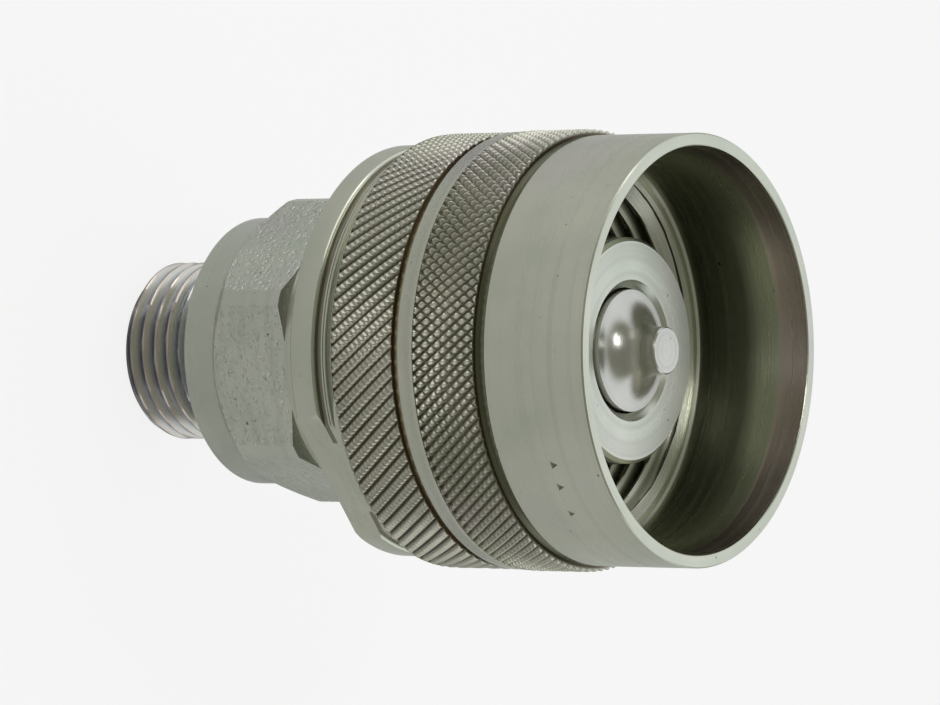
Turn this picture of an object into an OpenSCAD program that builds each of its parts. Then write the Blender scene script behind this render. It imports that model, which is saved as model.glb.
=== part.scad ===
// Screw-together fluid quick coupling, the half with the turning sleeve.
// A poppet valve closes it when it is apart. The axis is Z: the threaded
// port end stands on z = 0 and the open mating end looks up.

/* [Port end] */
// Outside diameter of the port thread
port_thread_d = 17.74; // [17.5:0.02:18]
// Length of full thread, from the end face
port_thread_l = 6.4; // [5:0.1:8]
// Diameter of the relief behind the thread
port_relief_d = 16; // [15.4:0.1:16.6]
// Length of the port stub, from the end face to the collar
port_l = 11; // [10:0.1:14]
// Outside diameter of the tube that the port takes
tube_d = 12; // [11:0.1:12.6]
// Mouth diameter of the 24 degree sealing cone
cone_mouth_d = 14.3; // [13.4:0.1:15]
// Depth of the tube stop, from the end face
tube_stop_depth = 7; // [6.4:0.1:8]
// Diameter of the flow bore
flow_bore_d = 10; // [8:0.1:10.6]

/* [Adapter] */
// Diameter of the round collar
collar_d = 26.5; // [25:0.1:27]
// Length of the round collar
collar_l = 3.8; // [3:0.1:6]
// Width across the flats of the hexagon
hex_af = 27; // [26.6:0.1:27.4]
// Diameter that the corners of the hexagon are turned down to
hex_corner_d = 30.3; // [29.4:0.1:31]
// Length of the hexagon
hex_l = 9.1; // [7:0.1:14]
// Outside diameter of the spigot that screws into the valve body
spigot_d = 22.2; // [21.6:0.1:22.6]
// Length of the threaded part of the spigot
spigot_thread_l = 5; // [4:0.1:7]
// Length of the sealing nose of the spigot
spigot_nose_l = 5.1; // [4.8:0.1:7]

/* [Valve body] */
// Diameter of the neck that the sleeve turns on
neck_d = 27.8; // [27.2:0.1:28.4]
// Length of the neck, from the hexagon to the thrust flange
neck_l = 12.1; // [11.8:0.1:15]
// Diameter of the thrust flange
thrust_d = 32; // [31:0.1:33]
// Length of the thrust flange
thrust_l = 3; // [2:0.1:4]
// Diameter of the probe
probe_d = 21.7; // [21.2:0.1:22.4]
// Length of the probe, in front of the thrust flange
probe_l = 15.9; // [15.6:0.1:18]
// Bore of the valve chamber
chamber_d = 18; // [17:0.1:18.6]
// Bore of the valve mouth
mouth_d = 12.1; // [11.6:0.1:12.6]
// Length of the valve mouth, from the seat to the face
mouth_l = 4.65; // [4.4:0.05:5.2]

/* [Poppet] */
// Running clearance round the poppet head
head_gap = 0.2; // [0.15:0.01:0.3]
// Diameter of the flange behind the seal
poppet_flange_d = 15.2; // [14.6:0.1:16]
// Diameter of the nose
nose_d = 4.6; // [4:0.1:6]
// Height of the nose above the probe face
nose_l = 4; // [3.6:0.1:5]
// Radius of the hollow curve between head and nose
flare_r = 3.1; // [2.4:0.1:3.3]
// Diameter of the guide stem
stem_d = 5; // [4.4:0.1:5.6]
// Travel of the poppet from closed to open
poppet_travel = 4; // [3.6:0.1:4.4]
// Wire diameter of the poppet spring
spring_wire_d = 1.1; // [0.9:0.05:1.3]
// Turns of the poppet spring
spring_turns = 4; // [3:0.25:4.5]

/* [Union sleeve] */
// Diameter of the spanner flange
flange_d = 40.3; // [39:0.1:41]
// Width across the two spanner flats
flange_af = 37; // [36:0.1:38.5]
// Angle of the spanner flats round the axis
flange_turn = -59; // [-90:1:90]
// Length of the spanner flange
flange_l = 2.9; // [2.4:0.1:5]
// Diameter over the rear knurl
rear_knurl_d = 42.4; // [41.8:0.1:43]
// Length of the rear knurl
rear_knurl_l = 6.9; // [5:0.1:9]
// Diameter over the front knurl
front_knurl_d = 42.6; // [42:0.1:43.2]
// Length of the front knurl
front_knurl_l = 6.8; // [5:0.1:9]
// Length of the plain land between the knurls
land_l = 1.75; // [1.2:0.05:3]
// Diameter of the skirt
skirt_d = 41.4; // [40.8:0.1:42]
// Length of the skirt
skirt_l = 11.1; // [9:0.1:14]
// Bore of the skirt
skirt_bore_d = 38.6; // [38:0.1:39]
// Depth of the skirt bore, from the rim
skirt_depth = 12.6; // [11:0.1:14]
// Bore at the crests of the union thread, 36 x 2
union_thread_bore = 33.8; // [33.4:0.1:34.2]
// Length of the union thread
union_thread_l = 9; // [7:0.1:10]

/* [Seals and rings] */
// Section of the seal rings
seal_section = 1.7; // [1.5:0.05:1.8]
// Width of the backup rings
backup_w = 0.9; // [0.8:0.05:1.2]
// Wire diameter of the sleeve's retaining ring
retainer_wire_d = 1.5; // [1.2:0.05:1.7]
// Thickness of the thrust washer
washer_t = 0.8; // [0.6:0.05:0.9]

/* [Fits] */
// Radial running clearance of the sleeve on the neck
sleeve_fit = 0.08; // [0.04:0.01:0.1]
// Radial running clearance of the stem in its bush
stem_fit = 0.05; // [0.03:0.01:0.08]
// Radial clearance between screwed parts
screw_fit = 0.1; // [0.05:0.01:0.15]
// Clearance between a ring and its groove
ring_fit = 0.05; // [0.03:0.01:0.08]
// Axial play of the sleeve between washer and retaining ring
sleeve_play = 0.1; // [0.05:0.01:0.2]

/* [Hidden] */
$fn = 96;
eps = 0.01;
edge = 0.3;                      // broken edges

// Heights along the axis
collar_z = port_l;
hex_z = collar_z + collar_l;
seam_z = hex_z + hex_l;          // adapter against valve body
spigot_end_z = seam_z + spigot_thread_l + spigot_nose_l;
thrust_z = seam_z + neck_l;
probe_z = thrust_z + thrust_l;
face_z = probe_z + probe_l;
nose_z = face_z + nose_l;
seat_z = face_z - mouth_l;       // where the valve seat meets the mouth

// Adapter details
thread_chamfer_l = 1;
thread_chamfer = 0.9;
cone_half_angle = 12;
cone_l = (cone_mouth_d - tube_d) / 2 / tan(cone_half_angle);
hex_front_chamfer = 0.35;
hex_neck_d = neck_d;             // the hexagon ends at the neck's diameter
spigot_relief_l = 1;
spigot_relief_depth = 0.8;
nose_step = 0.3;                 // the sealing nose is this much smaller in radius
nose_d_outer = spigot_d - 2 * nose_step;
nose_bore_d = 15.6;
guide_t = 2;                     // thickness of the guide disc
guide_z = spigot_end_z;
guide_shoulder_z = guide_z + guide_t;
nose_flare_l = 6;

// Seal grooves: a groove is as deep as its ring, less the clearance
seal_r = seal_section / 2;
seal_groove_w = seal_section + backup_w + 3 * ring_fit;
body_bore_d = nose_d_outer + 2 * ring_fit;
adapter_groove_r = body_bore_d / 2 - seal_section - ring_fit;
adapter_land = 1;                // wall in front of the adapter's groove
probe_land = 1.4;                // wall in front of the probe's groove
adapter_groove_z = spigot_end_z - adapter_land - seal_groove_w;
probe_groove_z = face_z - probe_land - seal_groove_w;
probe_groove_r = probe_d / 2 - seal_section + ring_fit;

// Valve seat: a 45 degree cone, and the poppet's own cone behind it
seat_gap = 0.28;
head_d = mouth_d - 2 * head_gap;
mouth_chamfer = 0.75;
face_edge = 0.35;
seal_cover = 1.15;               // how far the seal's cone stands out past the head
seal_lift = 0.06;                // the seal ring lies this clear of the seat
seal_cone_r = head_d / 2 + seal_cover;
seal_cone_z = seat_z + mouth_d / 2 - seal_cone_r - seat_gap;
poppet_groove_w = seal_section + 2 * ring_fit;
poppet_seal_z = seal_cone_z - poppet_groove_w / 2;
poppet_seal_r = seat_z + mouth_d / 2 - poppet_seal_z - (seal_r + seal_lift) * sqrt(2);
poppet_groove_r = poppet_seal_r - seal_r - ring_fit;
flange_front_z = seal_cone_z - poppet_groove_w;
poppet_flange_l = 1.4;
flange_rear_z = flange_front_z - poppet_flange_l;
boss_d = 7.8;
boss_l = 1.2;
hub_d = 8.6;
open_gap = 0.6;                  // between boss and hub with the valve open
hub_l = flange_rear_z - boss_l - poppet_travel - guide_shoulder_z - open_gap;
bush_wall = 0.8;
stem_tail = 3.4;                 // length of stem behind the guide
stem_end_z = guide_z - stem_tail;
spring_inset = 0.3;
spring_d = (poppet_flange_d + hub_d) / 2 - 2 * spring_inset;   // mean diameter
flow_holes = 6;
flow_hole_d = 3.7;
flow_hole_r = 7.65;
nose_edge = 0.15;

// Sleeve, from its rear face to its rim
retainer_r = retainer_wire_d / 2;
washer_z = thrust_z - ring_fit - washer_t;
web_front_z = washer_z - sleeve_play;
web_l = 3.6;
web_rear_z = web_front_z - web_l;
retainer_z = web_rear_z - sleeve_play - retainer_r;
retainer_sink = 0.9;             // share of the wire's radius that is let into the neck
retainer_groove_r = neck_d / 2 - retainer_r * retainer_sink;
retainer_ring_r = retainer_groove_r + ring_fit + retainer_r;
rear_recess_d = 31.6;
recess_l = 2.5;
sleeve_z = web_rear_z - recess_l;
sleeve_bore_d = neck_d + 2 * sleeve_fit;
washer_slack = 0.3;
washer_id = neck_d + 2 * washer_slack;
washer_od = thrust_d + 2 * washer_slack;
sleeve_chamber_d = 35.4;
groove_w = 0.55;
bead_l = 0.55;
bead_step = 0.4;                 // steps in radius from flange to bead, and on to groove
groove_step = 0.15;
bead_edge = 0.2;
bead_d = flange_d - 2 * bead_step;
knurl_bevel = bead_edge + (rear_knurl_d - bead_d) / 2;
rear_groove_d = bead_d - 2 * groove_step;
mid_groove_w = 0.8;
front_groove_w = 0.9;
mid_groove_depth = 0.6;
front_groove_depth = 0.45;
flange_end_z = sleeve_z + flange_l;
bead_z = flange_end_z + groove_w;
rear_knurl_z = bead_z + bead_l + knurl_bevel;
mid_groove_z = rear_knurl_z + rear_knurl_l;
land_z = mid_groove_z + mid_groove_w;
front_knurl_z = land_z + land_l;
front_groove_z = front_knurl_z + front_knurl_l;
skirt_z = front_groove_z + front_groove_w;
rim_z = skirt_z + skirt_l;
thread_front_z = rim_z - skirt_depth;
thread_rear_z = thread_front_z - union_thread_l;
land_step = 0.1;                 // the land lies this much under the front knurl
land_d = front_knurl_d - 2 * land_step;
lip_d = 36.8;
lip_angle = 30;
lip_l = (lip_d - union_thread_bore) / 2 * tan(lip_angle);
rim_lead_l = 3.1;
rim_lead = 0.2;
sleeve_seal_z = web_front_z - web_l / 2;
sleeve_seal_r = neck_d / 2 + ring_fit + seal_r;
steel = [0.72, 0.72, 0.67];
rubber = [0.08, 0.08, 0.09];
plastic = [0.9, 0.88, 0.8];
bronze = [0.7, 0.5, 0.3];

// A ring of round section
module round_ring(r, z, section) {
    translate([0, 0, z]) rotate_extrude() translate([r, 0]) circle(d = section, $fn = 32);
}

// A ring of square section
module square_ring(r_in, r_out, z, l) {
    translate([0, 0, z]) rotate_extrude() translate([r_in, 0]) square([r_out - r_in, l]);
}

// Adapter: everything turned, then the hexagon milled on its blank
module port_adapter() {
    r_stub = port_thread_d / 2;
    r_relief = port_relief_d / 2;
    r_collar = collar_d / 2;
    r_hex = hex_corner_d / 2;
    hex_rise = r_hex - r_collar;
    color(steel) difference() {
        union() {
            rotate_extrude() polygon([
                [0, 0], [r_stub - thread_chamfer, 0], [r_stub, thread_chamfer_l],
                [r_stub, port_thread_l], [r_relief, port_thread_l + r_stub - r_relief],
                [r_relief, collar_z], [r_collar - edge, collar_z], [r_collar, collar_z + edge],
                [r_collar, hex_z + eps], [0, hex_z + eps]]);
            intersection() {
                rotate_extrude() polygon([
                    [0, hex_z], [r_collar, hex_z], [r_hex, hex_z + hex_rise],
                    [r_hex, seam_z - hex_front_chamfer], [hex_neck_d / 2, seam_z], [0, seam_z]]);
                translate([0, 0, hex_z - 1]) cylinder(d = hex_af / cos(30), h = hex_l + 2, $fn = 6);
            }
            rotate_extrude() polygon([
                [0, seam_z - eps], [spigot_d / 2 - spigot_relief_depth, seam_z - eps],
                [spigot_d / 2 - spigot_relief_depth, seam_z + spigot_relief_l],
                [spigot_d / 2, seam_z + spigot_relief_l + spigot_relief_depth],
                [spigot_d / 2, seam_z + spigot_thread_l],
                [nose_d_outer / 2, seam_z + spigot_thread_l + edge],
                [nose_d_outer / 2, spigot_end_z - edge], [nose_d_outer / 2 - edge, spigot_end_z],
                [0, spigot_end_z]]);
        }
        rotate_extrude() polygon([
            [0, -1], [cone_mouth_d / 2 + tan(cone_half_angle), -1], [tube_d / 2, cone_l],
            [tube_d / 2, tube_stop_depth], [flow_bore_d / 2, tube_stop_depth],
            [flow_bore_d / 2, spigot_end_z - nose_flare_l], [nose_bore_d / 2, spigot_end_z],
            [nose_bore_d / 2, spigot_end_z + 1], [0, spigot_end_z + 1]]);
        square_ring(adapter_groove_r, spigot_d, adapter_groove_z, seal_groove_w);
    }
}

module adapter_seal() {
    color(rubber) round_ring(adapter_groove_r + ring_fit / 2 + seal_r,
                             adapter_groove_z + ring_fit + seal_r, seal_section);
}

module adapter_backup_ring() {
    color(plastic) square_ring(adapter_groove_r + ring_fit, body_bore_d / 2 - ring_fit,
                               adapter_groove_z + 2 * ring_fit + seal_section, backup_w);
}

// Valve body: socket for the adapter, neck, thrust flange, probe and seat
module valve_body() {
    r_neck = neck_d / 2;
    r_thrust = thrust_d / 2;
    r_probe = probe_d / 2;
    r_socket = spigot_d / 2 + screw_fit;
    r_bore = body_bore_d / 2;
    r_chamber = chamber_d / 2;
    r_mouth = mouth_d / 2;
    socket_l = spigot_thread_l + 2 * edge;
    color(steel) difference() {
        rotate_extrude() polygon([
            [r_socket, seam_z], [r_neck, seam_z], [r_neck, thrust_z],
            [r_thrust - edge, thrust_z], [r_thrust, thrust_z + edge],
            [r_thrust, probe_z - 3 * edge], [r_thrust - 3 * edge, probe_z],
            [r_probe, probe_z], [r_probe, face_z - face_edge], [r_probe - face_edge, face_z],
            [r_mouth + mouth_chamfer, face_z], [r_mouth, face_z - mouth_chamfer],
            [r_mouth, seat_z], [r_chamber, seat_z - (r_chamber - r_mouth)],
            [r_chamber, guide_shoulder_z], [r_bore, guide_shoulder_z],
            [r_bore, seam_z + socket_l], [r_socket, seam_z + socket_l - edge]]);
        round_ring(retainer_ring_r, retainer_z, retainer_wire_d + 2 * ring_fit);
        square_ring(probe_groove_r, probe_d, probe_groove_z, seal_groove_w);
    }
}

module probe_seal() {
    color(rubber) round_ring(probe_groove_r + ring_fit + seal_r,
                             probe_groove_z + seal_groove_w - ring_fit - seal_r, seal_section);
}

module probe_backup_ring() {
    color(plastic) square_ring(probe_groove_r + ring_fit, probe_d / 2 - ring_fit,
                               probe_groove_z + ring_fit, backup_w);
}

// Guide: a pierced disc held between adapter and valve body, with a hub
module valve_guide() {
    color(steel) difference() {
        union() {
            translate([0, 0, guide_z]) cylinder(r = body_bore_d / 2 - ring_fit, h = guide_t);
            translate([0, 0, guide_z]) cylinder(d = hub_d, h = guide_t + hub_l);
        }
        translate([0, 0, guide_z - 1])
            cylinder(d = stem_d + 2 * (stem_fit + bush_wall), h = guide_t + hub_l + 2);
        for (i = [0 : flow_holes - 1])
            rotate(i * 360 / flow_holes) translate([flow_hole_r, 0, guide_z - 1])
                cylinder(d = flow_hole_d, h = guide_t + 2, $fn = 48);
    }
}

module guide_bush() {
    color(bronze) square_ring(stem_d / 2 + stem_fit, stem_d / 2 + stem_fit + bush_wall,
                              guide_z, guide_t + hub_l);
}

// Poppet: turned in one piece, the hollow flare cut by a round form tool
module poppet() {
    r_head = head_d / 2;
    r_nose = nose_d / 2;
    head_front_z = face_z;
    flare_z = head_front_z + flare_r;
    color(steel) difference() {
        rotate_extrude() polygon([
            [0, stem_end_z], [stem_d / 2 - edge, stem_end_z], [stem_d / 2, stem_end_z + edge],
            [stem_d / 2, flange_rear_z - boss_l], [boss_d / 2, flange_rear_z - boss_l],
            [boss_d / 2, flange_rear_z], [poppet_flange_d / 2, flange_rear_z],
            [poppet_flange_d / 2, flange_front_z], [poppet_groove_r, flange_front_z],
            [poppet_groove_r, seal_cone_z], [seal_cone_r, seal_cone_z],
            [r_head, seal_cone_z + seal_cone_r - r_head], [r_head, head_front_z],
            [r_nose + flare_r, head_front_z + eps], [r_nose, flare_z],
            [r_nose, nose_z - nose_edge], [r_nose - nose_edge, nose_z], [0, nose_z]]);
        round_ring(r_nose + flare_r, flare_z, 2 * flare_r);
    }
}

module poppet_seal() {
    color(rubber) round_ring(poppet_seal_r, poppet_seal_z, seal_section);
}

// Spring: one wire swept along a helix, with closed end turns
function spring_lift(t, e) =
    (t < e ? t * t / (2 * e) : t > 1 - e ? 1 - e - (1 - t) * (1 - t) / (2 * e) : t - e / 2) / (1 - e);

module poppet_spring() {
    sides = 8;
    rings = 24 * spring_turns;
    closing = 0.15;              // share of the turns that closes at each end
    z0 = guide_shoulder_z + spring_wire_d / 2 + ring_fit;
    l = flange_rear_z - guide_shoulder_z - spring_wire_d - 2 * ring_fit;
    points = [for (k = [0 : rings])
              let (a = k * 360 * spring_turns / rings, z = z0 + l * spring_lift(k / rings, closing))
              for (s = [0 : sides - 1])
              let (b = s * 360 / sides, r = (spring_d + spring_wire_d * cos(b)) / 2)
                  [r * cos(a), r * sin(a), z + spring_wire_d / 2 * sin(b)]];
    skin = [for (k = [0 : rings - 1], s = [0 : sides - 1])
            let (n = (s + 1) % sides)
            [k * sides + s, k * sides + n, (k + 1) * sides + n, (k + 1) * sides + s]];
    ends = [[for (s = [sides - 1 : -1 : 0]) s], [for (s = [0 : sides - 1]) rings * sides + s]];
    color(steel) polyhedron(points, concat(skin, ends));
}

module thrust_washer() {
    color(bronze) square_ring(washer_id / 2, washer_od / 2, washer_z, washer_t);
}

// Snap ring of round wire, with the gap that lets it spring open
module sleeve_retaining_ring() {
    gap = 2;
    color(steel) difference() {
        round_ring(retainer_ring_r, retainer_z, retainer_wire_d);
        translate([0, -gap / 2, retainer_z - retainer_wire_d]) cube([neck_d, gap, 2 * retainer_wire_d]);
    }
}

// Union sleeve
module union_sleeve() {
    r_flange = flange_d / 2;
    r_bead = bead_d / 2;
    r_rear = rear_knurl_d / 2;
    r_front = front_knurl_d / 2;
    r_land = land_d / 2;
    r_skirt = skirt_d / 2;
    r_bore = skirt_bore_d / 2;
    r_lip = lip_d / 2;
    r_thread = union_thread_bore / 2;
    r_chamber = sleeve_chamber_d / 2;
    r_web = sleeve_bore_d / 2;
    r_recess = rear_recess_d / 2;
    color(steel) difference() {
        rotate_extrude() polygon([
            [r_recess, sleeve_z], [r_flange - edge, sleeve_z], [r_flange, sleeve_z + edge],
            [r_flange, flange_end_z - edge], [r_flange - edge, flange_end_z],
            [rear_groove_d / 2, flange_end_z], [rear_groove_d / 2, bead_z], [r_bead, bead_z],
            [r_bead, bead_z + bead_l], [r_bead - bead_edge, bead_z + bead_l + eps],
            [r_rear, rear_knurl_z], [r_rear, mid_groove_z],
            [r_rear - mid_groove_depth, mid_groove_z], [r_rear - mid_groove_depth, land_z],
            [r_land, land_z], [r_land, front_knurl_z], [r_front, front_knurl_z],
            [r_front, front_groove_z], [r_skirt - front_groove_depth, front_groove_z],
            [r_skirt - front_groove_depth, skirt_z], [r_skirt, skirt_z],
            [r_skirt, rim_z], [r_bore + rim_lead, rim_z], [r_bore, rim_z - rim_lead_l],
            [r_bore, thread_front_z], [r_lip, thread_front_z],
            [r_thread, thread_front_z - lip_l], [r_thread, thread_rear_z],
            [r_chamber, thread_rear_z], [r_chamber, web_front_z], [r_web, web_front_z],
            [r_web, web_rear_z], [r_recess, web_rear_z]]);
        for (side = [0, 180])
            rotate(flange_turn + side)
                translate([flange_af / 2, -flange_d, sleeve_z - 1])
                    cube([flange_d, 2 * flange_d, rear_knurl_z - sleeve_z + 1]);
        square_ring(r_web - eps, sleeve_seal_r + seal_r + ring_fit,
                    sleeve_seal_z - seal_r - ring_fit, seal_section + 2 * ring_fit);
    }
}

module sleeve_seal() {
    color(rubber) round_ring(sleeve_seal_r, sleeve_seal_z, seal_section);
}

port_adapter();
valve_body();
adapter_seal();
adapter_backup_ring();
valve_guide();
guide_bush();
poppet();
poppet_seal();
poppet_spring();
probe_seal();
probe_backup_ring();
thrust_washer();
sleeve_retaining_ring();
union_sleeve();
sleeve_seal();
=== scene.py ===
"""Looks of the screw-together fluid coupling: plated turned steel, two knurled bands,
a threaded port stub and the threaded mouth of the union sleeve. Lengths are in
millimetres and become metres where a piece is made."""
import math

import bpy
import numpy as np
from mathutils import Matrix, Vector


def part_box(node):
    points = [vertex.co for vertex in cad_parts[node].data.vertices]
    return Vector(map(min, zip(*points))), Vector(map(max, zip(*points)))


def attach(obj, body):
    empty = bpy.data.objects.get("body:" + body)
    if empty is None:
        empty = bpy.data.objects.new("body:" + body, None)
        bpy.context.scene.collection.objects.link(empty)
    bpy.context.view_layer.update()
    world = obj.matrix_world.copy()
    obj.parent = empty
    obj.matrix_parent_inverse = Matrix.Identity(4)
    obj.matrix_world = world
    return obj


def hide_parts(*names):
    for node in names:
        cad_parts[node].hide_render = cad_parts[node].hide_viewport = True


MM = 0.001
UP = Vector((0, 0, 1))
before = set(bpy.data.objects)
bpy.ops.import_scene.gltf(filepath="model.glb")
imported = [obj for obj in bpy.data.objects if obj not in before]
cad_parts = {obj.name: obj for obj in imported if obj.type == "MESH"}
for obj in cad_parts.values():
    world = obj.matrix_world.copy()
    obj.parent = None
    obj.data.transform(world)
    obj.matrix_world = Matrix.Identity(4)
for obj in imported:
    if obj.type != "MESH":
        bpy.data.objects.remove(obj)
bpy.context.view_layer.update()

# ---------------------------------------------------------------- camera, light, floor
VIEWER_TURN = math.radians(-100.3)   # where the viewer stands, round the axis
VIEWER_TILT = math.radians(55.6)     # between the axis and the line to the camera
VIEWER_DISTANCE = 582.1
AIM_HEIGHT = 36.16                   # height on the axis that the camera looks at
AIM_DROP = 0.185                     # the view's middle lies this far under the axis
LENS = 228.6
SENSOR_WIDTH = 36
# The studio's glow, from level with the camera's plane (0) to the camera itself (1).
WORLD_TONES = ((0, (0.92, 0.96, 0.98)), (0.1, (0.8, 0.83, 0.8)),
               (0.27, (0.27, 0.275, 0.23)), (1, (0.25, 0.25, 0.21)))
FLOOR_WIDTH = 8                      # metres
FLOOR_GREY = (0.8, 0.8, 0.8, 1)
FLOOR_WHITE_SHARE = 0.85             # of what the camera sees of the floor, the rest is matt
side = Vector((math.cos(VIEWER_TURN), math.sin(VIEWER_TURN), 0))
picture_up = side.cross(UP)
to_camera = math.sin(VIEWER_TILT) * side + math.cos(VIEWER_TILT) * UP
picture_right = picture_up.cross(to_camera)


def cleared_tree(owner):
    """The empty node tree of a material or a world."""
    owner.use_nodes = True
    owner.node_tree.nodes.clear()
    return owner.node_tree


def add_camera():
    place = AIM_HEIGHT * UP + VIEWER_DISTANCE * to_camera - AIM_DROP * picture_up
    bpy.ops.object.camera_add(location=place * MM)
    camera = bpy.context.object
    turn = Matrix((picture_right, picture_up, to_camera)).transposed()
    camera.rotation_euler = turn.to_euler()
    camera.data.lens = LENS
    camera.data.sensor_width = SENSOR_WIDTH
    camera.data.clip_start = 0.01
    bpy.context.scene.camera = camera


def add_softbox(name, direction, distance, size, power):
    """A soft rectangular lamp that looks at the middle of the part. power is in watts."""
    middle = AIM_HEIGHT * UP
    away = direction.normalized()
    bpy.ops.object.light_add(type="AREA", location=(middle + distance * away) * MM)
    lamp = bpy.context.object
    lamp.name = name
    lamp.rotation_euler = away.to_track_quat("Z", "Y").to_euler()
    lamp.data.shape = "RECTANGLE"
    lamp.data.size = size[0] * MM
    lamp.data.size_y = size[1] * MM
    lamp.data.energy = power


def add_lights():
    add_softbox("softbox_high", picture_up + 0.35 * to_camera, 420, (420, 260), 0.42)
    add_softbox("softbox_low", -picture_up + 0.6 * to_camera - 0.2 * UP, 440, (300, 140), 0.14)
    add_softbox("softbox_mouth", UP + 0.3 * picture_up + 0.2 * side, 500, (160, 60), 0.3)


def add_world():
    """Plain studio glow: pale from behind and beside the part, darker from the camera's side."""
    world = bpy.data.worlds.new("studio")
    bpy.context.scene.world = world
    tree = cleared_tree(world)
    put = tree.nodes.new
    link = tree.links.new
    where = put("ShaderNodeTexCoord")
    facing = put("ShaderNodeVectorMath")
    facing.operation = "DOT_PRODUCT"
    facing.inputs[1].default_value = to_camera
    link(where.outputs["Generated"], facing.inputs[0])
    ramp = put("ShaderNodeValToRGB")
    stops = ramp.color_ramp.elements
    for stop, (_, colour) in zip(stops, (WORLD_TONES[0], WORLD_TONES[-1])):
        stop.color = (*colour, 1)
    for place, colour in WORLD_TONES[1:-1]:
        stops.new(place).color = (*colour, 1)
    link(facing.outputs["Value"], ramp.inputs["Fac"])
    glow = put("ShaderNodeBackground")
    link(ramp.outputs["Color"], glow.inputs["Color"])
    out = put("ShaderNodeOutputWorld")
    link(glow.outputs["Background"], out.inputs["Surface"])


def add_floor():
    """A wide pale floor that shows as white and keeps the part's soft shadow."""
    bpy.ops.mesh.primitive_plane_add(size=FLOOR_WIDTH)
    floor = bpy.context.object
    floor.name = "studio_floor"
    paint = bpy.data.materials.new("studio_floor")
    tree = cleared_tree(paint)
    put = tree.nodes.new
    link = tree.links.new
    matt = put("ShaderNodeBsdfDiffuse")
    matt.inputs["Color"].default_value = FLOOR_GREY
    white = put("ShaderNodeEmission")
    white.inputs["Strength"].default_value = 1
    seen = put("ShaderNodeLightPath")
    blend = put("ShaderNodeMixShader")
    share = put("ShaderNodeMath")
    share.operation = "MULTIPLY"
    share.inputs[1].default_value = FLOOR_WHITE_SHARE
    link(seen.outputs["Is Camera Ray"], share.inputs[0])
    link(share.outputs[0], blend.inputs["Fac"])
    link(matt.outputs[0], blend.inputs[1])
    link(white.outputs[0], blend.inputs[2])
    out = put("ShaderNodeOutputMaterial")
    link(blend.outputs[0], out.inputs["Surface"])
    floor.data.materials.append(paint)


add_camera()
add_lights()
add_world()
add_floor()
bpy.context.scene.view_settings.view_transform = "Standard"


# ---------------------------------------------------------------- shaping
STEPS = 360                          # faces round a turned piece
FULL = 2 * math.pi
THREAD_STEP = 0.12                   # spacing of a profile's points where a thread is cut
KNURL_STEP = 0.115                   # and where a knurl is


def turned(name, profile, steps=STEPS):
    """A closed profile of (radius, height) points carried round the axis: a flat grid is
    rolled up, with a strip of faces for each stretch of the profile."""
    rows = len(profile)
    bpy.ops.object.select_all(action="DESELECT")
    bpy.ops.mesh.primitive_grid_add(x_subdivisions=steps, y_subdivisions=rows, size=2)
    piece = bpy.context.object
    piece.name = name
    flat = np.empty(len(piece.data.vertices) * 3)
    piece.data.vertices.foreach_get("co", flat)
    across, along, _ = flat.reshape(-1, 3).T
    column = np.rint((across + 1) / 2 * steps) % steps
    row = np.rint((along + 1) / 2 * rows).astype(int) % rows
    radius, height = np.array(profile).T
    set_polar(piece, radius[row], column / steps, height[row])
    bpy.ops.object.mode_set(mode="EDIT")
    bpy.ops.mesh.select_all(action="SELECT")
    bpy.ops.mesh.remove_doubles(threshold=0.001 * MM)
    bpy.ops.mesh.normals_make_consistent(inside=False)
    bpy.ops.object.mode_set(mode="OBJECT")
    return piece


def finely(start, end, step):
    """The points of a straight stretch of profile, close enough together to be shaped."""
    count = max(1, round(math.dist(start, end) / step))
    return [tuple(a + (b - a) * i / count for a, b in zip(start, end)) for i in range(count)]


def round_corner(corner, size, turn_from, parts=4):
    """A quarter round in a profile: size is its radius, turn_from its first angle in degrees."""
    radius, height = corner
    angles = [math.radians(turn_from + 90 * i / parts) for i in range(parts + 1)]
    return [(radius + size * math.cos(a), height + size * math.sin(a)) for a in angles]


def polar(piece):
    """Radius, turn and height of each vertex, in millimetres and turns of the axis."""
    flat = np.empty(len(piece.data.vertices) * 3)
    piece.data.vertices.foreach_get("co", flat)
    x, y, z = flat.reshape(-1, 3).T / MM
    return np.hypot(x, y), np.arctan2(y, x) / FULL, z


def set_polar(piece, radius, turn, height):
    angle = turn * FULL
    places = np.stack([radius * np.cos(angle), radius * np.sin(angle), height], axis=1) * MM
    piece.data.vertices.foreach_set("co", places.ravel())
    piece.data.update()


def wave(phase):
    """Distance from the nearest whole number, as a share: 0 on it, 1 half-way between two."""
    return 1 - 2 * np.abs(phase - np.floor(phase) - 0.5)


def make_active(piece):
    bpy.ops.object.select_all(action="DESELECT")
    piece.select_set(True)
    bpy.context.view_layer.objects.active = piece


def cut_with(piece, cutter, operation="DIFFERENCE"):
    """Cuts the piece with another closed mesh, which is then deleted."""
    make_active(piece)
    cut = piece.modifiers.new("cut", "BOOLEAN")
    cut.object = cutter
    cut.operation = operation
    cut.solver = "EXACT"
    bpy.ops.object.modifier_apply(modifier="cut")
    bpy.data.objects.remove(cutter)


def finish(piece, material, body, slot, *nodes, angle=35):
    """Smooths faces that meet under angle degrees, sets the material, hangs the piece on its body
    and hides the model's parts that it replaces.
    """
    make_active(piece)
    bpy.ops.object.transform_apply(location=True, rotation=True, scale=True)
    bpy.ops.object.shade_smooth_by_angle(angle=math.radians(angle))
    piece.data.materials.clear()
    piece.data.materials.append(material)
    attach(piece, body)
    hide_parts(*nodes)


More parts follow.
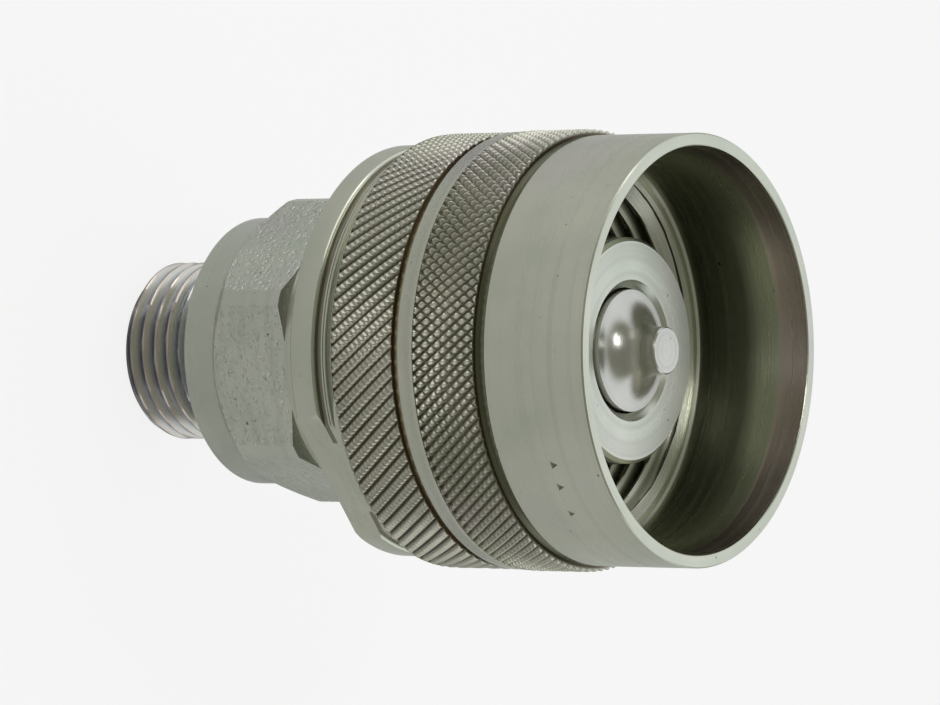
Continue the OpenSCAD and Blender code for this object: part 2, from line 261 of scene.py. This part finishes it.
# ---------------------------------------------------------------- union sleeve
SLEEVE_LOW, SLEEVE_RIM = (corner.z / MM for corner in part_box("union_sleeve"))
FLANGE_R = 20.15
FLANGE_FLAT = 18.5                   # from the axis to each spanner flat
FLANGE_TURN = math.radians(-59)
FLANGE_TOP = SLEEVE_LOW + 2.9
BEAD_R = 19.75
BEAD_LOW = FLANGE_TOP + 0.55
REAR_KNURL_LOW = BEAD_LOW + 0.55 + 1.65
REAR_KNURL_R = 21.2
REAR_KNURL = (REAR_KNURL_LOW, REAR_KNURL_LOW + 6.9)
LAND_LOW = REAR_KNURL[1] + 0.8
LAND = (LAND_LOW, LAND_LOW + 1.75)
LAND_R = 21.2
FRONT_KNURL_R = 21.3
FRONT_KNURL = (LAND[1], LAND[1] + 6.8)
SKIRT_LOW = FRONT_KNURL[1] + 0.9
SKIRT_R = 20.7
SKIRT_BORE_R = 19.3
BORE_FLOOR = SLEEVE_RIM - 12.6
KNURL_SEAT = 0.7                     # the bands' seats lie this deep under the knurl
KNURL_OVERLAP = 0.3                  # and the bands go this much deeper into the sleeve
KNURL_ANGLE = math.radians(39)       # between a groove and the axis
KNURL_EDGE = 0.15                    # chamfer at a band's two edges
SHORT = 0.01                         # a band ends this far inside its seat
THREAD_CREST_R = 16.9
THREAD_ROOT_R = 18.05
THREAD_TOP = BORE_FLOOR - 0.1
THREAD_LOW = BORE_FLOOR - 9
THREAD_CREST_SHARE = 0.12            # a crest's flat, as a share of half a pitch
THREAD_FLANK_SHARE = 0.76
UNION_PITCH = 2
LIP_R = 18.4
LIP_ANGLE = math.radians(30)
CHAMBER_R = 17.7
CHAMBER_LOW = 35.05
NECK_BORE_R = 13.98
SEAL_BORE_R = 15.8
SEAL_STEP = 31.45
RIM_BAND = 3.1                       # depth of the tinted band inside the rim


def sleeve_profile():
    rear_seat = REAR_KNURL_R - KNURL_SEAT
    front_seat = FRONT_KNURL_R - KNURL_SEAT
    mid_floor = REAR_KNURL_R - 0.6
    front_floor = SKIRT_R - 0.45
    crest_top = BORE_FLOOR - (LIP_R - THREAD_CREST_R) * math.tan(LIP_ANGLE)
    return [
        (SEAL_BORE_R, SLEEVE_LOW), (FLANGE_R - 0.3, SLEEVE_LOW), (FLANGE_R, SLEEVE_LOW + 0.3),
        *round_corner((FLANGE_R - 0.35, FLANGE_TOP - 0.35), 0.35, 0),
        (BEAD_R - 0.15, FLANGE_TOP), (BEAD_R - 0.15, BEAD_LOW),
        (BEAD_R, BEAD_LOW + 0.06), (BEAD_R, BEAD_LOW + 0.24), (BEAD_R - 0.12, BEAD_LOW + 0.27),
        (BEAD_R - 0.12, BEAD_LOW + 0.31), (BEAD_R, BEAD_LOW + 0.34), (BEAD_R, BEAD_LOW + 0.52),
        (BEAD_R - 0.2, BEAD_LOW + 0.56), (REAR_KNURL_R - 0.1, REAR_KNURL[0] - 0.05),
        (REAR_KNURL_R - 0.1, REAR_KNURL[0]), (rear_seat, REAR_KNURL[0]),
        (rear_seat, REAR_KNURL[1]), (mid_floor, REAR_KNURL[1]), (mid_floor, LAND[0]),
        (LAND_R - 0.08, LAND[0]), (LAND_R, LAND[0] + 0.12), (LAND_R, LAND[1] - 0.3),
        (LAND_R + 0.05, LAND[1] - 0.22), (LAND_R + 0.05, LAND[1]), (front_seat, LAND[1]),
        (front_seat, FRONT_KNURL[1]), (front_floor, FRONT_KNURL[1]), (front_floor, SKIRT_LOW),
        (SKIRT_R - 0.12, SKIRT_LOW), (SKIRT_R, SKIRT_LOW + 0.15),
        *finely((SKIRT_R, SKIRT_LOW + 0.3), (SKIRT_R, SLEEVE_RIM - 0.3), 1.0),
        (SKIRT_R, SLEEVE_RIM - 0.15), (SKIRT_R - 0.12, SLEEVE_RIM),
        (SKIRT_BORE_R + 0.3, SLEEVE_RIM), (SKIRT_BORE_R + 0.2, SLEEVE_RIM - 0.1),
        (SKIRT_BORE_R + 0.02, SLEEVE_RIM - RIM_BAND), (SKIRT_BORE_R, SLEEVE_RIM - 3.15),
        (SKIRT_BORE_R, BORE_FLOOR + 0.25), (SKIRT_BORE_R - 0.2, BORE_FLOOR + 0.02),
        (LIP_R + 0.12, BORE_FLOOR), (LIP_R, BORE_FLOOR - 0.08),
        *finely((LIP_R, THREAD_TOP), (THREAD_CREST_R, crest_top), THREAD_STEP),
        *finely((THREAD_CREST_R, crest_top), (THREAD_CREST_R, THREAD_LOW), THREAD_STEP),
        (THREAD_CREST_R, THREAD_LOW), (CHAMBER_R, THREAD_LOW - 0.3), (CHAMBER_R, CHAMBER_LOW),
        (NECK_BORE_R, CHAMBER_LOW), (NECK_BORE_R, SEAL_STEP), (SEAL_BORE_R, SEAL_STEP)]


def union_thread(piece):
    """Cuts the 36 x 2 thread into the bore: one right-hand groove with narrow crests."""
    radius, turn, height = polar(piece)
    near = (radius > THREAD_CREST_R - 0.05) & (radius < LIP_R + 0.01)
    near &= (height < THREAD_TOP) & (height > THREAD_LOW - 0.01)
    share = wave((height - THREAD_TOP) / UNION_PITCH - turn)
    flank = np.clip((share - THREAD_CREST_SHARE) / THREAD_FLANK_SHARE, 0, 1)
    groove = THREAD_CREST_R + (THREAD_ROOT_R - THREAD_CREST_R) * flank
    radius = np.where(near, np.maximum(radius, groove), radius)
    set_polar(piece, radius, turn, height)


def spanner_flats(piece):
    """Mills two opposite flats across the flange, up to the rear knurl."""
    deep, wide, tall = 6, 50, REAR_KNURL_LOW - SLEEVE_LOW
    for flip in (0, math.pi):
        turn = FLANGE_TURN + flip
        out = Vector((math.cos(turn), math.sin(turn), 0))
        middle = (FLANGE_FLAT + deep / 2) * out + (SLEEVE_LOW + tall / 2 - 0.5) * UP
        bpy.ops.mesh.primitive_cube_add(size=1, location=middle * MM, rotation=(0, 0, turn))
        cutter = bpy.context.object
        cutter.scale = (deep * MM, wide * MM, (tall + 1) * MM)
        cut_with(piece, cutter)


# Each mark's turn from the viewer's side, in degrees, and its height.
PUNCH_DOTS = ((31, SLEEVE_RIM - 5.15), (38, SLEEVE_RIM - 5.35), (47.5, SLEEVE_RIM - 5.65))
DOT_TIP_R, DOT_R, DOT_DEPTH = 0.05, 1.0, 1.1


def punch_dot(piece, turn, height):
    """A small triangular punch mark in the skirt, its point towards the axis."""
    out = Vector((math.cos(turn), math.sin(turn), 0))
    middle = (SKIRT_R + 0.05) * out + height * UP
    bpy.ops.mesh.primitive_cone_add(vertices=3, radius1=DOT_TIP_R * MM, radius2=DOT_R * MM,
                                    depth=DOT_DEPTH * MM, location=middle * MM)
    cutter = bpy.context.object
    cutter.rotation_euler = out.to_track_quat("Z", "Y").to_euler()
    cut_with(piece, cutter)


def knurl_band(name, top_radius, span, coarse, fine, depths, widths):
    """A band with two families of helical grooves. coarse and fine are the grooves round
    the band in each family; depths and widths are theirs, a width as a share of the pitch."""
    low, high = span
    inner = top_radius - KNURL_SEAT - KNURL_OVERLAP
    around = max(coarse, fine)
    steps = around * (12 if around < 150 else 6)   # keeps a band under 200,000 triangles
    start, end = (top_radius, low + SHORT), (top_radius, high - SHORT)
    profile = [(inner, low + SHORT), *finely(start, end, KNURL_STEP), end, (inner, high - SHORT)]
    band = turned(name, profile, steps)
    radius, turn, height = polar(band)
    outer = radius > top_radius - 0.01
    lead = FULL * top_radius / math.tan(KNURL_ANGLE)   # one full turn of a groove
    along = (height - low) / lead
    sink = np.zeros_like(radius)
    for count, sense, depth, width in zip((coarse, fine), (1, -1), depths, widths):
        share = wave(count * (turn + sense * along))
        groove = np.clip(1 - share / width, 0, 1)
        sink = np.maximum(sink, depth * groove)
    edge = np.minimum(height - low, high - height)
    sink = np.maximum(sink, np.clip(KNURL_EDGE - edge, 0, None))
    radius = np.where(outer, radius - sink, radius)
    set_polar(band, radius, turn, height)
    return band


def add_sleeve():
    sleeve = turned("union_sleeve_turned", sleeve_profile())
    union_thread(sleeve)
    spanner_flats(sleeve)
    for turn, height in PUNCH_DOTS:
        punch_dot(sleeve, VIEWER_TURN + math.radians(turn), height)
    finish(sleeve, STEEL_SLEEVE, "sleeve_body", "plated_steel", "union_sleeve")
    rear = knurl_band("rear_knurl", REAR_KNURL_R, REAR_KNURL, 92, 184,
                      depths=(0.4, 0.2), widths=(0.6, 1.0))
    finish(rear, STEEL_KNURL, "sleeve_body", "plated_steel", "union_sleeve", angle=25)
    front = knurl_band("front_knurl", FRONT_KNURL_R, FRONT_KNURL, 122, 122,
                       depths=(0.46, 0.4), widths=(0.75, 0.55))
    finish(front, STEEL_KNURL, "sleeve_body", "plated_steel", "union_sleeve", angle=25)


# ---------------------------------------------------------------- port adapter
STUB_R = 8.87
STUB_ROOT_R = 7.95
STUB_LEAD_IN = 1                     # height of the chamfer at the stub's end
STUB_THREAD_TOP = 6.5
RELIEF_R = 8.0
RELIEF_LOW = 7.4
PORT_PITCH = 1.5
CREST_FULLNESS = 1.15                # above 1, a crest keeps a flat top
CREST_ROUNDING = 0.8                 # below 1, its flanks bulge
FIRST_CREST = 1.3                    # height of the first crest on the viewer's side
COLLAR_R = 13.25
COLLAR_LOW = 11
HEX_LOW = 14.8
HEX_AF = 27
HEX_R = 15.15
SEAM = 23.9
SPIGOT_R = 11.1
SPIGOT_NOSE_R = 10.8
UNDERCUT_R = 10.3
TUBE_STOP_R, TUBE_STOP = 5, 7        # the bore that the tube stops at
SOCKET_R, SOCKET_LOW = 6, 5.41
MOUTH_R = 7.15
HEX_BLANK = 80                       # length of the hexagonal bar that the turned form is cut from
ADAPTER_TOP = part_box("port_adapter")[1].z / MM


def adapter_profile():
    rise = HEX_R - COLLAR_R
    return [
        (MOUTH_R, 0), (STUB_R - 0.9, 0),
        *finely((STUB_R - 0.9, 0), (STUB_R, STUB_LEAD_IN), THREAD_STEP),
        *finely((STUB_R, STUB_LEAD_IN), (STUB_R, STUB_THREAD_TOP), THREAD_STEP),
        *finely((STUB_R, STUB_THREAD_TOP), (RELIEF_R, RELIEF_LOW), THREAD_STEP),
        (RELIEF_R, RELIEF_LOW), (RELIEF_R, COLLAR_LOW - 0.1), (RELIEF_R + 0.1, COLLAR_LOW),
        (COLLAR_R - 0.3, COLLAR_LOW), (COLLAR_R, COLLAR_LOW + 0.3), (COLLAR_R, HEX_LOW - 0.12),
        (COLLAR_R + 0.05, HEX_LOW), (HEX_R, HEX_LOW + rise), (HEX_R, SEAM - 0.35),
        (13.9, SEAM), (UNDERCUT_R, SEAM), (UNDERCUT_R, SEAM + 1),
        (SPIGOT_R, SEAM + 1.8), (SPIGOT_R, SEAM + 5), (SPIGOT_NOSE_R, SEAM + 5.3),
        (SPIGOT_NOSE_R, ADAPTER_TOP), (7.8, ADAPTER_TOP), (TUBE_STOP_R, ADAPTER_TOP - 6),
        (TUBE_STOP_R, TUBE_STOP), (SOCKET_R, TUBE_STOP), (SOCKET_R, SOCKET_LOW)]


def port_thread(piece):
    """Cuts the M18 x 1.5 thread: a right-hand groove between rounded crests."""
    radius, turn, height = polar(piece)
    near = (radius > RELIEF_R - 0.05) & (height < RELIEF_LOW - 0.01)
    start = FIRST_CREST - PORT_PITCH * VIEWER_TURN / FULL
    share = 1 - wave((height - start) / PORT_PITCH - turn)
    crest = np.clip(share * CREST_FULLNESS, 0, 1) ** CREST_ROUNDING
    helix = STUB_ROOT_R + (STUB_R - STUB_ROOT_R) * crest
    radius = np.where(near, np.minimum(radius, helix), radius)
    set_polar(piece, radius, turn, height)


def add_adapter():
    adapter = turned("port_adapter_turned", adapter_profile())
    port_thread(adapter)
    bpy.ops.mesh.primitive_cylinder_add(
        vertices=6, radius=HEX_AF / math.sqrt(3) * MM, depth=HEX_BLANK * MM,
        location=(0, 0, 0), rotation=(0, 0, math.radians(30)))
    cut_with(adapter, bpy.context.object, "INTERSECT")
    finish(adapter, STEEL_ADAPTER, "coupling_body", "plated_steel", "port_adapter")


# ---------------------------------------------------------------- shared shader effects
def new_group(name, inputs, outputs):
    group = bpy.data.node_groups.new(name, "ShaderNodeTree")
    for label, kind, value in inputs:
        socket = group.interface.new_socket(label, in_out="INPUT", socket_type=kind)
        socket.default_value = value
    for label, kind in outputs:
        group.interface.new_socket(label, in_out="OUTPUT", socket_type=kind)
    return group, group.nodes.new("NodeGroupInput"), group.nodes.new("NodeGroupOutput")


def maths(tree, operation, first, second=0.0, third=0.0):
    """A Math node. Each input is a number or another node's socket."""
    node = tree.nodes.new("ShaderNodeMath")
    node.operation = operation
    for socket, value in zip(node.inputs, (first, second, third)):
        if isinstance(value, (int, float)):
            socket.default_value = value
        else:
            tree.links.new(value, socket)
    return node.outputs[0]


def place_and_radius(group):
    """The point's x, y and z in metres, and its distance from the axis."""
    where = group.nodes.new("ShaderNodeTexCoord")
    split = group.nodes.new("ShaderNodeSeparateXYZ")
    group.links.new(where.outputs["Object"], split.inputs[0])
    x, y, z = split.outputs
    squares = [maths(group, "MULTIPLY", part, part) for part in (x, y)]
    return x, y, z, maths(group, "SQRT", maths(group, "ADD", *squares))


def turning_marks_group():
    """Fine rings left by the lathe: they run round the axis on any turned face."""
    group, given, result = new_group(
        "turning marks",
        [("Lines per mm", "NodeSocketFloat", 6.0), ("Wander", "NodeSocketFloat", 0.02)],
        [("Height", "NodeSocketFloat"), ("Streak", "NodeSocketFloat")])
    x, y, z, radius = place_and_radius(group)
    scale = maths(group, "MULTIPLY", given.outputs["Lines per mm"], 1 / MM)
    drift = maths(group, "MULTIPLY", given.outputs["Wander"], 1 / MM)
    fine = group.nodes.new("ShaderNodeCombineXYZ")
    group.links.new(maths(group, "MULTIPLY_ADD", radius, scale, maths(group, "MULTIPLY", x, drift)),
                    fine.inputs[0])
    group.links.new(maths(group, "MULTIPLY_ADD", z, scale, maths(group, "MULTIPLY", y, drift)),
                    fine.inputs[1])
    marks = group.nodes.new("ShaderNodeTexNoise")
    marks.inputs["Scale"].default_value = 1
    marks.inputs["Detail"].default_value = 3
    group.links.new(fine.outputs[0], marks.inputs["Vector"])
    broad = group.nodes.new("ShaderNodeVectorMath")
    broad.operation = "SCALE"
    broad.inputs["Scale"].default_value = 0.17
    group.links.new(fine.outputs[0], broad.inputs[0])
    streak = group.nodes.new("ShaderNodeTexNoise")
    streak.inputs["Scale"].default_value = 1
    streak.inputs["Detail"].default_value = 2
    group.links.new(broad.outputs[0], streak.inputs["Vector"])
    group.links.new(marks.outputs["Fac"], result.inputs["Height"])
    group.links.new(streak.outputs["Fac"], result.inputs["Streak"])
    return group


def zone_group():
    """Masks a stretch of height and a range of radius, both in millimetres."""
    group, given, result = new_group(
        "zone",
        [("Low", "NodeSocketFloat", 0.0), ("High", "NodeSocketFloat", 100.0),
         ("Inner", "NodeSocketFloat", 0.0), ("Outer", "NodeSocketFloat", 100.0),
         ("Soft", "NodeSocketFloat", 0.1)],
        [("Mask", "NodeSocketFloat")])
    _, _, z, radius = place_and_radius(group)
    mask = 1.0
    for value, least, most in ((z, "Low", "High"), (radius, "Inner", "Outer")):
        size = maths(group, "DIVIDE", value, MM)
        for first, second in ((size, given.outputs[least]), (given.outputs[most], size)):
            inside = maths(group, "DIVIDE", maths(group, "SUBTRACT", first, second),
                           given.outputs["Soft"])
            inside = maths(group, "MINIMUM", maths(group, "MAXIMUM", inside, 0.0), 1.0)
            mask = maths(group, "MULTIPLY", inside, mask)
    group.links.new(mask, result.inputs["Mask"])
    return group


TURNING = turning_marks_group()
ZONE = zone_group()


def zone_mask(tree, low=-1.0, high=100.0, inner=-1.0, outer=100.0, soft=0.1):
    """1 inside the zone, in millimetres, and falling to 0 over soft at its edges."""
    node = tree.nodes.new("ShaderNodeGroup")
    node.node_tree = ZONE
    sizes = {"Low": low, "High": high, "Inner": inner, "Outer": outer, "Soft": soft}
    for label, value in sizes.items():
        node.inputs[label].default_value = value
    return node.outputs["Mask"]


def mixed_colour(tree, under, over, share):
    """One colour over another. Each is a colour or a socket, and share a socket."""
    node = tree.nodes.new("ShaderNodeMix")
    node.data_type = "RGBA"
    for label, value in (("A", under), ("B", over)):
        if isinstance(value, tuple):
            node.inputs[label].default_value = (*value, 1)
        else:
            tree.links.new(value, node.inputs[label])
    tree.links.new(share, node.inputs["Factor"])
    return node.outputs["Result"]


def noise(tree, scale, detail):
    where = tree.nodes.new("ShaderNodeTexCoord")
    texture = tree.nodes.new("ShaderNodeTexNoise")
    texture.inputs["Scale"].default_value = scale
    texture.inputs["Detail"].default_value = detail
    tree.links.new(where.outputs["Object"], texture.inputs["Vector"])
    return texture.outputs["Fac"]


def hexagon_mask(tree):
    """1 on the six milled flats of the hexagon."""
    where = tree.nodes.new("ShaderNodeTexCoord")
    mask = 0.0
    for turn in (-90, -30, 30):
        along = tree.nodes.new("ShaderNodeVectorMath")
        along.operation = "DOT_PRODUCT"
        angle = math.radians(turn)
        along.inputs[1].default_value = (math.cos(angle), math.sin(angle), 0)
        tree.links.new(where.outputs["Object"], along.inputs[0])
        mask = maths(tree, "MAXIMUM", maths(tree, "ABSOLUTE", along.outputs["Value"]), mask)
    return maths(tree, "GREATER_THAN", mask, (HEX_AF / 2 - 0.01) * MM)


PATCH_SCALE, VIOLET_SCALE, SPECK_SCALE, PIT_SCALE, GRAIN_SCALE = 130, 75, 1600, 2200, 900
VIOLET_TINT = (0.6, 0.55, 0.58)
SPECK_COLOUR = (0.08, 0.08, 0.07)
PIT_DEPTH = 0.35
STREAK_SHADE = 0.72                  # a lathe streak's colour, as a share of the steel's


def plated_steel(name, colour, tint, rough, marks, depth, zones=(), pitted=False):
    """Turned steel with a clear zinc plating: soft patches of a second tint, lathe marks and
    zones of other colours. Each zone is a colour, its strength and the sizes of its mask.
    marks is the lathe's lines per millimetre, depth is theirs, and pitted roughens the
    hexagon's flats."""
    metal = bpy.data.materials.new(name)
    tree = cleared_tree(metal)
    put = tree.nodes.new
    link = tree.links.new
    shader = put("ShaderNodeBsdfPrincipled")
    shader.inputs["Metallic"].default_value = 1
    shader.inputs["Anisotropic"].default_value = 0.5
    shader.inputs["Anisotropic Rotation"].default_value = 0.25
    out = put("ShaderNodeOutputMaterial")
    link(shader.outputs[0], out.inputs["Surface"])
    tangent = put("ShaderNodeTangent")
    tangent.direction_type = "RADIAL"
    tangent.axis = "Z"
    link(tangent.outputs[0], shader.inputs["Tangent"])
    lathe = put("ShaderNodeGroup")
    lathe.node_tree = TURNING
    lathe.inputs["Lines per mm"].default_value = marks
    patches = maths(tree, "MULTIPLY_ADD", noise(tree, PATCH_SCALE, 4), 3.0, -1.0)
    shade = mixed_colour(tree, colour, tint, patches)
    violet = maths(tree, "MULTIPLY_ADD", noise(tree, VIOLET_SCALE, 2), 2.4, -1.3)
    shade = mixed_colour(tree, shade, VIOLET_TINT, violet)
    streaks = maths(tree, "MULTIPLY_ADD", lathe.outputs["Streak"], 1.6, -0.8)
    shade = mixed_colour(tree, shade, tuple(STREAK_SHADE * part for part in colour), streaks)
    # most zones are painted shade in grooves, the bore and thread valleys; one is a painted
    # reflection on the stub thread's crests
    for over, strength, sizes in zones:
        share = maths(tree, "MULTIPLY", zone_mask(tree, **sizes), strength)
        shade = mixed_colour(tree, shade, over, share)
    specks = maths(tree, "MULTIPLY_ADD", noise(tree, SPECK_SCALE, 1), 12.0, -9.1)
    shade = mixed_colour(tree, shade, SPECK_COLOUR, specks)
    link(shade, shader.inputs["Base Color"])
    link(maths(tree, "MULTIPLY_ADD", lathe.outputs["Streak"], 0.25, rough - 0.125),
         shader.inputs["Roughness"])
    height = maths(tree, "MULTIPLY", lathe.outputs["Height"], depth)
    if pitted:
        flats = hexagon_mask(tree)
        pits = maths(tree, "MINIMUM", noise(tree, PIT_SCALE, 2), 0.5)
        pits = maths(tree, "MULTIPLY", maths(tree, "MULTIPLY", pits, PIT_DEPTH), flats)
        smooth = maths(tree, "SUBTRACT", 1.0, flats)
        height = maths(tree, "MULTIPLY_ADD", height, smooth, pits)
    bump = put("ShaderNodeBump")
    bump.inputs["Strength"].default_value = 1
    bump.inputs["Distance"].default_value = MM
    link(height, bump.inputs["Height"])
    link(bump.outputs[0], shader.inputs["Normal"])
    return metal


BORE_PAINTED_SHADE = (0.4, 0.43, 0.3)             # painted shade in the bore of the skirt: the plating's tint darkened
BORE_VIOLET = (0.52, 0.42, 0.42)     # band inside the rim
# painted shade on the flanks of the union thread inside the bore
THREAD_PAINTED_SHADE = (0.12, 0.12, 0.07)
REAR_GROOVE_PAINTED_SHADE = (0.36, 0.28, 0.15)    # painted shade in the groove between the rear knurl and the land
SKIRT_GROOVE_PAINTED_SHADE = (0.22, 0.22, 0.15)     # painted shade in the groove before the skirt
FLANGE_GROOVE_PAINTED_SHADE = (0.16, 0.13, 0.1)     # painted shade in the groove over the flange
STUB_VALLEY_PAINTED_SHADE = (0.25, 0.24, 0.36)       # painted shade in the valleys of the stub's thread
STUB_CREST_PAINTED_REFLECTION = (0.66, 0.55, 0.52)       # its crests
KNURL_PAINTED_SHADE = (0.09, 0.065, 0.04)    # painted shade in the valleys of the knurls
STEEL_BODY = plated_steel(
    "turned plated steel", (0.66, 0.66, 0.59), (0.56, 0.59, 0.51), 0.28, 7, 0.012)
STEEL_ADAPTER = plated_steel(
    "plated adapter steel", (0.66, 0.67, 0.6), (0.57, 0.6, 0.53), 0.28, 6, 0.012,
    # painted shade in the valleys of the stub's thread
    zones=[(STUB_VALLEY_PAINTED_SHADE, 0.75, {"high": COLLAR_LOW - 0.1, "outer": STUB_R - 0.25, "soft": 0.5}),
           # painted reflection on the crests of the stub's thread
           (STUB_CREST_PAINTED_REFLECTION, 0.6, {"high": RELIEF_LOW + 0.1, "inner": STUB_R - 0.35, "soft": 0.2})],
    pitted=True)
STEEL_SLEEVE = plated_steel(
    "plated sleeve steel", (0.64, 0.64, 0.55), (0.55, 0.57, 0.48), 0.26, 6, 0.012,
    # painted shade deep in the skirt's bore
    zones=[(BORE_PAINTED_SHADE, 0.8, {"low": BORE_FLOOR + 0.3, "high": SLEEVE_RIM - 0.05,
                         "outer": SKIRT_BORE_R + 0.25, "soft": 0.05}),
           (BORE_VIOLET, 0.8, {"low": SLEEVE_RIM - RIM_BAND, "high": SLEEVE_RIM - 0.1,
                               "outer": SKIRT_BORE_R + 0.25, "soft": 0.05}),
           # painted shade on the union thread's flanks
           (THREAD_PAINTED_SHADE, 0.8, {"low": THREAD_LOW, "high": BORE_FLOOR - 1,
                                "inner": THREAD_CREST_R + 0.2, "outer": LIP_R, "soft": 0.3}),
           # painted shade in the groove between the rear knurl and the land
           (REAR_GROOVE_PAINTED_SHADE, 0.85, {"low": REAR_KNURL[1] - 0.02, "high": LAND_LOW + 0.02,
                                 "inner": 20, "outer": LAND_R - 0.05, "soft": 0.05}),
           # painted shade in the groove before the skirt
           (SKIRT_GROOVE_PAINTED_SHADE, 0.85, {"low": FRONT_KNURL[1] - 0.02, "high": SKIRT_LOW + 0.02,
                                "inner": 20, "outer": SKIRT_R - 0.05, "soft": 0.05}),
           # painted shade in the groove over the flange
           (FLANGE_GROOVE_PAINTED_SHADE, 0.8, {"low": FLANGE_TOP - 0.02, "high": BEAD_LOW + 0.02,
                                "inner": 19, "outer": BEAD_R, "soft": 0.05})])
STEEL_KNURL = plated_steel(
    "knurled plated steel", (0.6, 0.59, 0.5), (0.5, 0.5, 0.42), 0.3, 3, 0.012,
    # painted shade in the valleys of the knurls
    zones=[(KNURL_PAINTED_SHADE, 0.95, {"outer": REAR_KNURL_R - 0.1, "soft": 0.25})])
STEEL_BRIGHT = plated_steel(
    "bright turned steel", (0.62, 0.61, 0.57), (0.52, 0.52, 0.48), 0.24, 8, 0.016)


def mottled_material(name, colour, second, rough, metallic=0.0):
    """A moulded or cast surface: two close tones in fine patches, with a slight grain."""
    stuff = bpy.data.materials.new(name)
    stuff.use_nodes = True
    tree = stuff.node_tree
    shader = tree.nodes["Principled BSDF"]
    shader.inputs["Metallic"].default_value = metallic
    grain = noise(tree, GRAIN_SCALE, 4)
    tree.links.new(mixed_colour(tree, colour, second, grain), shader.inputs["Base Color"])
    tree.links.new(maths(tree, "MULTIPLY_ADD", grain, 0.2, rough - 0.1), shader.inputs["Roughness"])
    bump = tree.nodes.new("ShaderNodeBump")
    bump.inputs["Strength"].default_value = 0.3
    bump.inputs["Distance"].default_value = 0.05 * MM
    tree.links.new(grain, bump.inputs["Height"])
    tree.links.new(bump.outputs[0], shader.inputs["Normal"])
    return stuff


RUBBER = mottled_material("seal rubber", (0.012, 0.012, 0.012), (0.035, 0.035, 0.034), 0.5)
PLASTIC = mottled_material("backup ring plastic", (0.82, 0.79, 0.7), (0.74, 0.7, 0.6), 0.45)
BRONZE = mottled_material("bush bronze", (0.55, 0.37, 0.18), (0.4, 0.27, 0.14), 0.35, 1.0)
FINISHES = {
    "port_adapter": STEEL_BODY, "valve_body": STEEL_BODY, "union_sleeve": STEEL_BODY,
    "poppet": STEEL_BRIGHT, "valve_guide": STEEL_BRIGHT, "poppet_spring": STEEL_BRIGHT,
    "sleeve_retaining_ring": STEEL_BRIGHT, "thrust_washer": BRONZE, "guide_bush": BRONZE,
    "adapter_backup_ring": PLASTIC, "probe_backup_ring": PLASTIC,
}
for node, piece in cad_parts.items():
    piece.data.materials.clear()
    piece.data.materials.append(FINISHES.get(node, RUBBER))

add_sleeve()
add_adapter()
